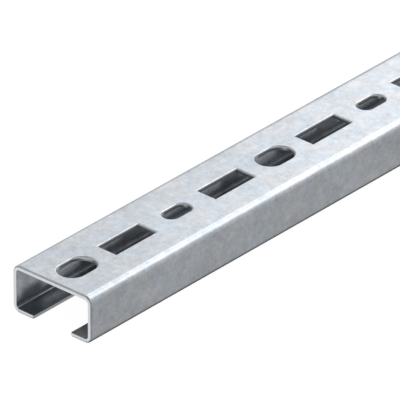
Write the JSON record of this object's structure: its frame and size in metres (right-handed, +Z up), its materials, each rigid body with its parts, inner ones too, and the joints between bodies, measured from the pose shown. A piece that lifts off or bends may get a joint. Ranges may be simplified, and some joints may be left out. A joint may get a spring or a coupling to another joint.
{
  "type": "strut channel",
  "caption": "C-profile strut channel roll-formed from galvanised steel strip, with a perforated web and an open slot between two inward lips that takes slide nuts and clamps.",
  "frame": {"origin": "centre of the rectangle that the two lips stand on, half way along the channel", "axes": "+X across the section, +Y along the channel from the end that starts with a large oblong hole, +Z up, out of the perforated web"},
  "size_m": [0.035, 0.3, 0.018],
  "materials": {
    "galvanised_steel": "strip-galvanised, faintly mottled, with bare sheared edges"
  },
  "bodies": {
    "root": {"channel": "galvanised_steel"}
  },
  "joints": []
}
